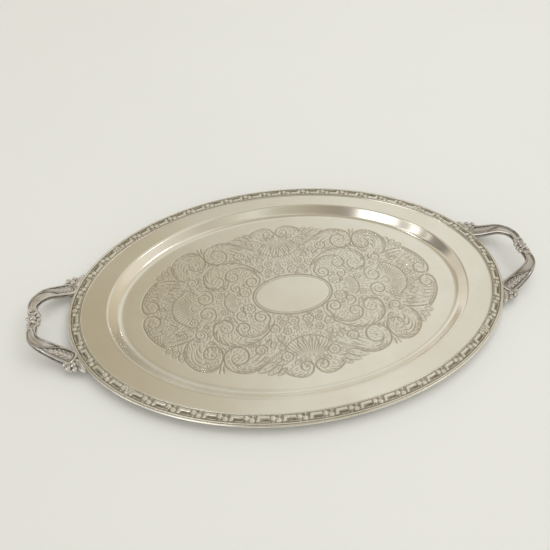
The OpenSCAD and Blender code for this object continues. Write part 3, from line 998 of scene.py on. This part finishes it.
def build_handles():
    """Both handles, from one arm, one knop and one shell."""
    arm = build_arm()
    knop = fused("knop", knop_parts(), 0.33)
    shell = fused("shell", shell_parts(), 0.36)
    for left, hand in ((True, "left_handle"), (False, "right_handle")):
        build_casting(f"{hand}_knop", knop, left)
        for near, side in ((True, "near"), (False, "far")):
            build_casting(f"{hand}_{side}_arm", arm, left, near)
            build_casting(f"{hand}_{side}_shell", shell, left, near)


# ---- studio

# Radius of the floor, and how far it lies under the tray
FLOOR_RADIUS = 6000.0
FLOOR_GAP = 0.05


def build_floor():
    """Pale sheet that the tray stands on, open under the well, where the tray hides it."""
    count = 96
    angle = np.linspace(0, math.tau, count, endpoint=False)
    opening = oval(WELL, angle, wall_profile(0, 2)[0][0] - 1)
    edge = oval((FLOOR_RADIUS, FLOOR_RADIUS), angle)
    corners = np.column_stack([np.vstack([opening, edge]), np.full(2 * count, -FLOOR_GAP)])
    mesh = new_mesh("floor", corners, [face[::-1] for face in loop_quads(2, count)])
    mesh.materials.append(floor_material())
    floor = place_in_scene("floor", mesh)


# Room round the tray, as degrees from +Y towards +X and a colour: windows, pale walls, dim corners
ROOM = (
    (-180, 0.45, 0.41, 0.32), (-166, 0.3, 0.26, 0.21), (-158, 0.35, 0.32, 0.27), (-155, 1.6, 1.6, 1.55),
    (-132, 1.6, 1.6, 1.55), (-128, 0.56, 0.53, 0.5), (-120, 0.56, 0.53, 0.5), (-117, 1.5, 1.48, 1.4),
    (-111, 1.5, 1.48, 1.4), (-107, 0.46, 0.43, 0.38), (-101, 0.52, 0.49, 0.43), (-98, 1.15, 1.1, 1),
    (-95, 0.3, 0.27, 0.24), (-75, 0.25, 0.23, 0.2), (-64, 0.65, 0.61, 0.52), (-46, 0.63, 0.58, 0.5),
    (-20, 0.74, 0.7, 0.6), (-8, 0.84, 0.81, 0.75), (8, 0.84, 0.82, 0.77), (14, 0.7, 0.69, 0.63),
    (22, 0.5, 0.48, 0.42), (36, 0.46, 0.43, 0.35), (51, 0.6, 0.54, 0.42), (75, 0.67, 0.61, 0.49),
    (90, 0.79, 0.73, 0.62), (116, 0.8, 0.77, 0.7), (143, 0.52, 0.48, 0.39), (154, 0.62, 0.6, 0.51),
    (161, 0.84, 0.84, 0.78), (167, 0.55, 0.53, 0.45), (177, 0.46, 0.42, 0.33),
)
# Ceiling in front of the camera, which the flat parts reflect: brown to the left, bright to the right
CEILING = (
    (-36, 0.46, 0.41, 0.31), (-14, 0.46, 0.41, 0.305), (0, 0.54, 0.5, 0.405), (14, 0.66, 0.64, 0.56),
    (24, 0.73, 0.72, 0.65), (33, 0.77, 0.76, 0.69), (48, 0.72, 0.71, 0.64), (62, 0.66, 0.61, 0.5),
)

# Colours straight above, and of the backdrop that only the camera sees
ZENITH = (0.45, 0.42, 0.34, 1)
BACKDROP = (0.74, 0.73, 0.68, 1)
# Small lamps at one distance from the tray: turn, rise, width and height in metres, and glow
LAMPS = ((29, 26, 0.05, 0.05, 30), (-59, 79, 0.14, 0.14, 8), (105, 53, 0.56, 0.26, 2.6))
LAMP_DISTANCE = 2.4


def soft_light(name, place, size, power, colour=(1, 1, 1)):
    """Rectangular light that faces the tray."""
    data = bpy.data.lights.new(name, "AREA")
    data.shape = "RECTANGLE"
    data.size, data.size_y = size
    data.energy = power
    data.color = colour
    light = place_in_scene(name, data)
    light.location = place
    light.rotation_euler = (-Vector(place)).to_track_quat("-Z", "Y").to_euler()
    return light


def towards(turn, rise):
    """Direction at an angle from +Y towards +X and at an angle above the horizon, in degrees."""
    turn, rise = math.radians(turn), math.radians(rise)
    return Vector((math.sin(turn) * math.cos(rise), math.cos(turn) * math.cos(rise), math.sin(rise)))


def build_world():
    """Studio surround: the room near the horizon, and the ceiling above it."""
    world = bpy.data.worlds.new("studio")
    bpy.context.scene.world = world
    world.use_nodes = True
    nodes = Nodes(world.node_tree)
    way = nodes.add("ShaderNodeTexCoord").outputs["Generated"]
    parts = nodes.add("ShaderNodeSeparateXYZ", {0: way}).outputs
    turn = nodes.remap(nodes.maths("ARCTAN2", parts["X"], parts["Y"]), -math.pi, math.pi)
    room = nodes.ramp(turn, ROOM)
    # Round the rest of the compass the ceiling has the colours of the room
    behind = [stop for stop in ROOM if not CEILING[0][0] - 8 < stop[0] < CEILING[-1][0] + 8]
    ceiling = nodes.ramp(turn, sorted([*behind, *CEILING]))
    colour = nodes.mix(nodes.ease(parts["Z"], 0.4, 0.56), room, ceiling)
    colour = nodes.mix(nodes.ease(parts["Z"], 0.93, 0.99), colour, ZENITH)
    seen = nodes.add("ShaderNodeLightPath").outputs["Is Camera Ray"]
    colour = nodes.mix(seen, colour, BACKDROP)
    surround = nodes.add("ShaderNodeBackground", {"Color": colour, "Strength": 1.0})
    nodes.add("ShaderNodeOutputWorld", {"Surface": surround.outputs[0]})


def build_camera():
    """Camera above the near side, turned a little to the right and rolled slightly."""
    turn, down, roll = 14.26, 48.67, math.radians(2.36)
    distance = 0.7142
    shift_x, shift_y = 0.03 * distance, -0.0212 * distance
    ahead = towards(turn, -down)
    level = towards(turn + 90, 0)
    rise = level.cross(ahead)
    right = level * math.cos(roll) + rise * math.sin(roll)
    up = rise * math.cos(roll) - level * math.sin(roll)
    aim = Vector((0, 0, FLANGE_TOP * MM)) - right * shift_x - up * shift_y
    data = bpy.data.cameras.new("camera")
    data.sensor_width = 36
    data.lens = 39.27
    data.clip_start = 0.01
    camera = place_in_scene("camera", data)
    turned = Matrix((right, up, -ahead)).transposed()
    camera.matrix_world = Matrix.Translation(aim - ahead * distance) @ turned.to_4x4()
    bpy.context.scene.camera = camera


build_camera()
build_world()
build_floor()
overhead = soft_light("overhead", (0.55, 0.2, 2.1), (2.6, 2.6), 19.0, (0.94, 0.97, 1.0))
overhead.visible_glossy = False
for number, (turn, rise, wide, high, glow) in enumerate(LAMPS):
    place = LAMP_DISTANCE * towards(turn, rise)
    soft_light(f"lamp_{number}", place, (wide, high), glow * math.pi * wide * high)

build_body()
build_wire("edge_wire", -WIRE_R, WIRE_Z, WIRE_R, np.linspace(-180, 180, 18, endpoint=False), dent=0.05)
build_wire("inner_bead", BEAD_OUT, FLANGE_TOP - SUNK, BEAD_R, np.linspace(0, 180, 9), dent=0.04)
build_border("border_right", -JOINT, JOINT)
build_border("border_far", JOINT, 180 - JOINT)
build_border("border_left", 180 - JOINT, 180 + JOINT)
build_border("border_near", 180 + JOINT, 360 - JOINT)
build_handles()

bpy.context.scene.view_settings.view_transform = "Standard"
